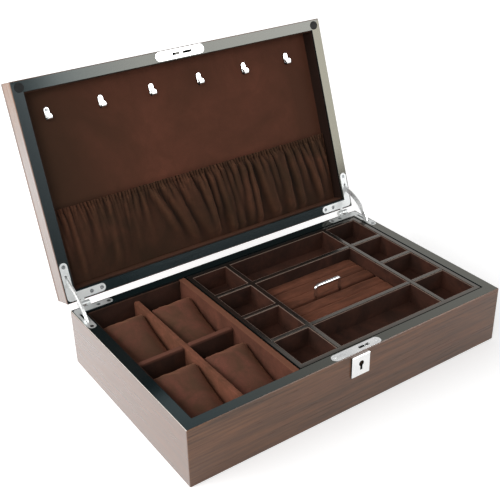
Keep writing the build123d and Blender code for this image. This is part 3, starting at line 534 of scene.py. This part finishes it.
roll_count = 6
rolls_in_front = 3
roll_slot = 3.4 * MM
roll_round = 1.2 * MM
roll_dip, roll_ripple = 0.3, 0.25
roll_end_drop = 0.8 * MM
roll_wander = 0.12 * MM
roll_cells = (60, 8, 8)
roll_suede = fibres("ring_roll_suede", "47291d", "6e4231", 90, 900, 0.36, combed=(0.2, 1.0, 1.0))
low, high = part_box("ring_rolls")
roll_width = (high.y - low.y - roll_slot) / roll_count
roll_covers = []
for index in range(roll_count):
    if index < rolls_in_front:
        y = low.y + roll_width / 2 + index * roll_width
    else:
        y = high.y - roll_width / 2 - (roll_count - 1 - index) * roll_width
    places, faces = block_skin(roll_cells)
    points = []
    for place in places:
        u, w = place[0], place[2]
        spot = rounded(place, Vector((high.x - low.x, roll_width, high.z - low.z)), roll_round)
        end = 1 - abs(2 * u - 1) ** 14
        sway = noise.noise(Vector((u * 7, index * 3.7, 1)))
        ripple = noise.noise(Vector((u * 22, index * 5.1, 8)))
        spot.z += (roll_dip * sway - roll_dip + roll_ripple * ripple) * MM * w
        spot.z -= roll_end_drop * (1 - end) * w
        spot.y += roll_wander * noise.noise(Vector((u * 6, index * 2.3, 5))) * end
        points.append(Vector(((low.x + high.x) / 2, y, (low.z + high.z) / 2)) + spot)
    roll_covers.append(refine(new_piece("ring_roll_" + str(index + 1), points, faces, roll_suede)))
for piece in roll_covers:
    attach(piece, "tray")
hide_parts("ring_rolls")

# Tray handle. A bow bent from round steel rod and chromed, with feet that pass between the rolls and
# stand on the tray floor.


def plated(name, base, bright, low, high, grain, bare=1.0):
    """Plating or polished steel, from low to high in roughness. The less bare, the more it looks painted."""
    finish, mix = new_finish(name)
    place = mix.place()
    marks = mix.cloud(place, grain, 4, 0.65)
    haze = mix.cloud(place, 90)
    mix.coat(base_color=mix.blend(haze, shade(base), shade(bright)), metallic=bare,
             roughness=mix.spread(marks, 0.3, 0.7, low, high))
    mix.bump(marks, 0.002 * MM, 0.2)
    return finish


chrome = plated("chrome", "dfe0e0", "f2f2f0", 0.1, 0.18, 700)
ease(("tray_handle",), chrome, 0.12 * MM)

# Hinges. Each is a pair of L-shaped leaves stamped from steel and plated satin bright, joined by a peened
# pin at the back corner, with countersunk screws through both legs into the rims.

screw_edge = 0.06 * MM
satin_chrome = plated("satin_chrome", "d0d4d4", "dadcdb", 0.28, 0.34, 500, 0.5)
screw_steel = plated("screw_steel", "85898a", "a4a7a8", 0.12, 0.28, 900)
steel = plated("polished_steel", "c4c6c8", "f2f2f0", 0.12, 0.28, 900)
ease(("case_hinge_leaf_left", "case_hinge_leaf_right", "lid_hinge_leaf_left", "lid_hinge_leaf_right"),
     satin_chrome, 0.18 * MM)
ease(("case_hinge_screws", "lid_hinge_screws"), screw_steel, screw_edge)
ease(("hinge_pin_left", "hinge_pin_right"), steel, 0.1 * MM)

# Lid stays. Curved flat arms, plated bright, that turn on a rivet in the lid's hinge leaf and slide through
# the slot of the case leaf, so that the lid stops just past upright.

ease(("stay_left", "stay_right"), plated("stay_chrome", "eceeee", "f2f2f0", 0.25, 0.32, 500, 0.6), 0.12 * MM)
ease(("stay_rivets",), steel, 0.1 * MM)

# Lock. A steel case let into the front rim under a bright cover plate with a slot, two small screws, the
# post that the key fits, and a turning hook that catches the lid's plate. The keyhole's own plate is on the
# front wall. The walls of the plates' slots and the keyhole plate's left side are painted black as painted
# shade.

cover_slot_reach, keyhole_reach = 13 * MM, 7 * MM


def paint_slot_shade(name, through, reach):
    """Paints shade: blackens the walls of the slots within reach of a plate's middle."""
    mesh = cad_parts[name].data
    middle = sum((v.co for v in mesh.vertices), Vector()) / len(mesh.vertices)

    def in_slot(face):
        return (face.center - middle).length < reach and abs(face.normal.dot(Vector(through))) < 0.5

    second_finish(name, black_lacquer, in_slot)


ease(("lock_case",), steel, 0.15 * MM)
ease(("lock_cover",), plated("plate_chrome", "ecece8", "f4f4f0", 0.15, 0.22, 700, 0.65), 0.2 * MM, 3)
ease(("lock_key_post", "lock_hook"), steel, 0.08 * MM)
ease(("lock_screws",), steel, screw_edge)
ease(("keyhole_plate",), chrome, 0.35 * MM, 3)
paint_slot_shade("lock_cover", (0, 0, 1), cover_slot_reach)
paint_slot_shade("keyhole_plate", (0, 1, 0), keyhole_reach)
# The keyhole plate's left side is painted black as painted shade.
second_finish("keyhole_plate", black_lacquer, lambda face: face.normal.x < -0.8)

# Lid frame and top. Four rails and a panel built like the case, veneered as one box and sawn off it, so
# that the grain runs on from the walls below; here turned back on its hinges.

lid_angle = math.radians(108.7)
pivot_y, pivot_z = 110.15 * MM, joint_height
lid_edge = 0.45 * MM
rubbed_front = (-112 * MM, -30 * MM, 0.3)
to_shut = Matrix.Rotation(lid_angle, 3, "X")
pivot = Vector((0, pivot_y, pivot_z))
shut = (tuple(pivot - to_shut @ pivot), lid_angle)
# Each rail's lacquer reflection is painted with its own tint from left to right.
ease(("lid_front_rail",), veneer("walnut_lid_front_grain", 0, 0.3, shut, left="a8b6b8", right="f4f4ea"),
     lid_edge, 3)
ease(("lid_back_rail",), veneer("walnut_lid_back_grain", 0, 0.3, shut, left="91a9b0", right="a3b0b4"),
     0.12 * MM, 3)
ease(("lid_left_rail", "lid_right_rail"),
     veneer("walnut_lid_end_grain", 1, 0.9, shut, rubbed_front, left="d2dee2"), lid_edge, 3)
ease(("lid_top_panel",), veneer("walnut_lid_top", 0, 0.3, shut), lid_edge, 3)

# Lid lining. A board and four side strips wrapped in suede cloth and pressed into the lid. The board is
# coloured darker towards the left, and the right side strip darker than the others.

dark_left = (0, -60 * MM, -160 * MM, "3a2a1d")
dark_right_strip = (0, 163 * MM, 165 * MM, "1d120e")
ease(("lid_lining_board",), fibres("lid_suede", "533325", "693e2f", 10, 900, 0.3, colour_band=dark_left), 0)
ease(("lid_side_linings",), fibres("lid_edge_suede", "2c1d16", "432a20", 13, 900, 0.2, colour_band=dark_right_strip),
     0.5 * MM)

# Lid pocket. One sheet of thin satiny cloth, much wider than the lid, drawn up on an elastic in its top
# hem and tacked along the sides and the bottom, so that it hangs in gathers and slanting folds.

pocket_half = 164.6 * MM
pocket_top, pocket_bottom = 18.3 * MM, 93.8 * MM
pocket_height = 11.0 * MM
hem = 5.0 * MM
cloth_thickness = 0.4 * MM
pocket_columns, pocket_rows = 560, 76
relief_columns = 8
fold_limit = 8.0
fold_widening, fold_rise, fold_fade = 120, 9, 6
gather_fade = 0.55
off_board, belly_depth, pinch_depth, pinch_width = 3.6, 2.4, 0.9, 1.1
wave_depth, slack_depth, sideways_reach = 0.5, 0.8, 0.6
tack_width = 5
deal = random.Random(11)


def lid_place(x, y, height):
    """A place on the open lid, from where it lies when shut and its height over the joint."""
    back = y - pivot_y
    return Vector((x, pivot_y + back * math.cos(lid_angle) + height * math.sin(lid_angle),
                   pivot_z - back * math.sin(lid_angle) + height * math.cos(lid_angle)))


def fold_list(start, stop, gap, width, depth, lean, low_end, high_end):
    """Folds laid out from start to stop: place, half width, depth, lean and where each begins and ends."""
    made, at = [], start
    while at < stop:
        made.append((at, deal.uniform(*width), deal.uniform(*depth), deal.uniform(*lean),
                     deal.uniform(*low_end), deal.uniform(*high_end)))
        at += deal.uniform(*gap)
    return made


folds = fold_list(-164, -66, (5, 10), (2.0, 3.4), (1.4, 3.0), (-0.05, 0.08), (0, 10), (25, 70))
folds += fold_list(-62, -8, (8, 14), (3.0, 4.6), (4.5, 7.5), (0.24, 0.42), (0, 12), (50, 90))
folds += fold_list(-6, 112, (6, 10), (2.2, 3.6), (4.6, 7.8), (0.02, 0.2), (0, 10), (45, 95))
folds += fold_list(114, 156, (6, 10), (2.1, 3.3), (2.8, 4.8), (0.1, 0.28), (0, 8), (35, 75))
gathers = fold_list(-165, 165, (2.8, 4.2), (0.8, 1.25), (2.0, 3.4), (-0.1, 0.18), (0, 0), (9, 22))


def pocket_depth(x, down):
    """How far the cloth stands out at x, down mm below its top edge, in mm."""
    out = 0.0
    for at, half, deep, lean, begin, end in folds:
        off = (x - at - lean * down) / (half * (1 + down / fold_widening))
        if abs(off) < 3:
            rise = min(1.0, max(0.0, (down - begin) / fold_rise + 0.35))
            fade = 1 / (1 + math.exp((down - end) / fold_fade))
            out += deep * math.exp(-off * off) * rise * fade * min(1.0, 0.25 + down / 8)
    for at, half, deep, lean, begin, end in gathers:
        off = (x - at - lean * down) / half
        if abs(off) < 3:
            out += deep * math.exp(-off * off) * math.exp(-max(0.0, down - hem / MM) / (end * gather_fade))
    return fold_limit * math.tanh(out / fold_limit)


def pocket_point(u, v, depth):
    """The cloth's place at u across and v down, both from 0 to 1, where its folds stand depth mm out."""
    x = (2 * u - 1) * pocket_half / MM
    down = v * (pocket_bottom - pocket_top) / MM
    ends = min(1.0, (1 - abs(2 * u - 1)) * pocket_half / MM / tack_width)
    out = depth * ends * min(1.0, (1 - v) * 9 + 0.12)
    belly = belly_depth * math.sin(math.pi * min(1.0, v * 1.05)) * ends
    pinch = -pinch_depth * math.exp(-((down - hem / MM) / pinch_width) ** 2)
    wave = wave_depth * noise.noise(Vector((x * 0.16, 0, 4))) * (1 - v) ** 3
    slack = slack_depth * noise.noise(Vector((x * 0.05, down * 0.06, 2)))
    sideways = sideways_reach * noise.noise(Vector((x * 0.1, down * 0.1, 9))) * math.sin(math.pi * v)
    return lid_place((x + sideways * ends) * MM, pocket_top + (down + wave) * MM,
                     pocket_height + (off_board - out - belly - pinch - slack * ends) * MM)


points, faces, relief = [], [], []
for row in range(pocket_rows + 1):
    v = row / pocket_rows
    depths = [pocket_depth((2 * column / pocket_columns - 1) * pocket_half / MM,
                           v * (pocket_bottom - pocket_top) / MM) for column in range(pocket_columns + 1)]
    for column in range(pocket_columns + 1):
        near = depths[max(0, column - relief_columns):column + relief_columns + 1]
        relief.append(depths[column] - sum(near) / len(near))
        points.append(pocket_point(column / pocket_columns, v, depths[column]))
for row in range(pocket_rows):
    for column in range(pocket_columns):
        a = row * (pocket_columns + 1) + column
        faces.append((a, a + 1, a + pocket_columns + 2, a + pocket_columns + 1))
# The cloth is painted lighter on the crests of its folds and darker in their valleys: painted highlight and
# painted shade.
pocket_cloth = fibres("pocket_cloth", "3a281b", "4f3123", 22, 1500, 0.4, painted_fold_light=(-1.3, 1.6, 0.3, 1.5))
pocket = new_piece("pocket", points, faces, pocket_cloth)
pocket.data.attributes.new("relief", "FLOAT", "POINT").data.foreach_set("value", relief)
pocket.modifiers.new("cloth thickness", "SOLIDIFY").thickness = cloth_thickness
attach(pocket, "lid")
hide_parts("lid_pocket")

# Chain hooks. Six short chromed strips bent into hooks, each held on the lid's lining by one small screw,
# for necklaces to hang from when the lid is up. Their sides are painted black, a painted reflection of the
# dark lining.

ease(("chain_hooks",), chrome, 0.25 * MM, 3)
second_finish("chain_hooks", black_lacquer, lambda face: abs(face.normal.x) > 0.6)
ease(("hook_screws",), screw_steel, screw_edge)

# Catch plate and bumpers. A chromed plate let into the lid's rim with two slots for the lock's hook, two
# small screws, and a black rubber dot at each front corner that keeps the rims from knocking.

catch_slot_reach = 17 * MM
ease(("catch_plate",), chrome, 0.15 * MM, 3)
# The walls of the catch plate's slots are painted black as painted shade.
paint_slot_shade("catch_plate", (0, math.sin(lid_angle), math.cos(lid_angle)), catch_slot_reach)
ease(("catch_screws",), steel, screw_edge)
ease(("lid_bumpers",), dull_black("bumper_rubber", "060808", "0e1112", 500, 0.4, 0.6, 0.2, 0.03 * MM, 0.5),
     0.3 * MM, 3)

# Studio. A broad white table and a white tent round it. Seen in gloss, the tent is white round its sides,
# darker overhead and dark low down at its open front. Two soft boxes light the box from the left, and two
# more cards are only seen in gloss.

table_half = 3.0
table_height = -0.2 * MM
tent_light = 0.42


def seen(mix):
    """1 for a look straight, in gloss or through glass, and 0 for the light that a surface gives."""
    path = mix.tree.nodes.new("ShaderNodeLightPath").outputs
    straight = mix.reckon("MAXIMUM", path["Is Camera Ray"], path["Is Glossy Ray"])
    return mix.reckon("MAXIMUM", straight, path["Is Transmission Ray"])


table_corners = [(x * table_half, y * table_half, table_height)
                 for x, y in ((-1, -1), (1, -1), (1, 1), (-1, 1))]
table_finish, mix = new_finish("table_white")
place = mix.place()
paper = mix.cloud(place, 9, 3)
from_box = mix.add("VectorMath", {0: place}, give=1, operation="LENGTH")
glow = mix.reckon("MULTIPLY", seen(mix), mix.spread(from_box, 0.2, 0.6, 0.5, 0.8))
mix.coat(base_color=mix.blend(paper, (0.78, 0.78, 0.78), (0.80, 0.80, 0.80)), roughness=0.9,
         specular_ior_level=0.0, emission_color=(1, 1, 1), emission_strength=glow)
table = new_piece("table", table_corners, [(0, 1, 2, 3)], table_finish)

world = bpy.data.worlds.new("tent")
bpy.context.scene.world = world
world.use_nodes = True
mix = Recipe(world.node_tree)
way = mix.add("TexCoord", {}, give="Generated")


def dimming(number, start, stop, most):
    """How much darker the tent gets as a direction's part along one axis goes from start to stop."""
    return mix.spread(mix.axis(way, number), start, stop, 0.0, most)


overhead = dimming(2, 0.59, 0.68, 0.75)
open_front = mix.reckon("MULTIPLY", dimming(1, -0.4, -0.65, 1.0), dimming(2, 0.32, 0.08, 0.76))
in_gloss = mix.tree.nodes.new("ShaderNodeLightPath").outputs["Is Glossy Ray"]
dimmed = mix.reckon("MULTIPLY", mix.reckon("ADD", overhead, open_front), in_gloss)
background = world.node_tree.nodes["Background"]
mix.fill(background.inputs["Color"], (1, 1, 1))
mix.fill(background.inputs["Strength"],
         mix.spread(seen(mix), 0.0, 1.0, tent_light, mix.reckon("SUBTRACT", 1.0, dimmed)))


def lamp(name, place, aim, size, power, lights=True):
    """A square soft box at place, turned to aim; one that doesn't light things is only seen in gloss."""
    light = bpy.data.lights.new(name, "AREA")
    light.size = size
    light.energy = power
    box = bpy.data.objects.new(name, light)
    box.location = place
    box.rotation_mode = "QUATERNION"
    box.rotation_quaternion = (Vector(aim) - Vector(place)).to_track_quat("-Z", "Y")
    box.visible_diffuse = lights
    bpy.context.scene.collection.objects.link(box)


lamp("soft box front left", (-1.1, -1.0, 0.95), (0, 0, 0.1), 0.7, 8)
lamp("soft box left", (-1.2, 0.35, 0.75), (-0.15, 0.05, 0.03), 0.8, 13)
lamp("card front right", (0.8, -1.05, 0.68), (0.06, 0.18, 0.25), 0.9, 11, lights=False)
lamp("card back left", (-0.9, 1.09, 0.8), (-0.177, 0, 0.06), 0.4, 5, lights=False)

# Camera. It stands a little above the box, off its left front corner, with a short telephoto lens. Its
# angles and place were fitted to the corners and rims of the box in the photograph.

camera_x, camera_y, camera_z = -431.65 * MM, -572.91 * MM, 512.39 * MM
turn, rise, roll = (math.radians(angle) for angle in (-34.09, 28.88, -1.31))
camera_data = bpy.data.cameras.new("camera")
camera_data.sensor_width = 36
camera_data.lens = 63.42
camera_data.shift_x = 0.0038
camera_data.shift_y = -0.0058
camera_data.clip_start = 0.05
camera = bpy.data.objects.new("camera", camera_data)
bpy.context.scene.collection.objects.link(camera)
bpy.context.scene.camera = camera
back = Vector((math.sin(turn) * math.cos(rise), -math.cos(turn) * math.cos(rise), math.sin(rise)))
level_right = Vector((0, 0, 1)).cross(back).normalized()
level_up = back.cross(level_right)
right = level_right * math.cos(roll) + level_up * math.sin(roll)
up = level_up * math.cos(roll) - level_right * math.sin(roll)
camera.matrix_world = Matrix((
    (right.x, up.x, back.x, camera_x),
    (right.y, up.y, back.y, camera_y),
    (right.z, up.z, back.z, camera_z),
    (0, 0, 0, 1),
))
bpy.context.scene.view_settings.view_transform = "Standard"
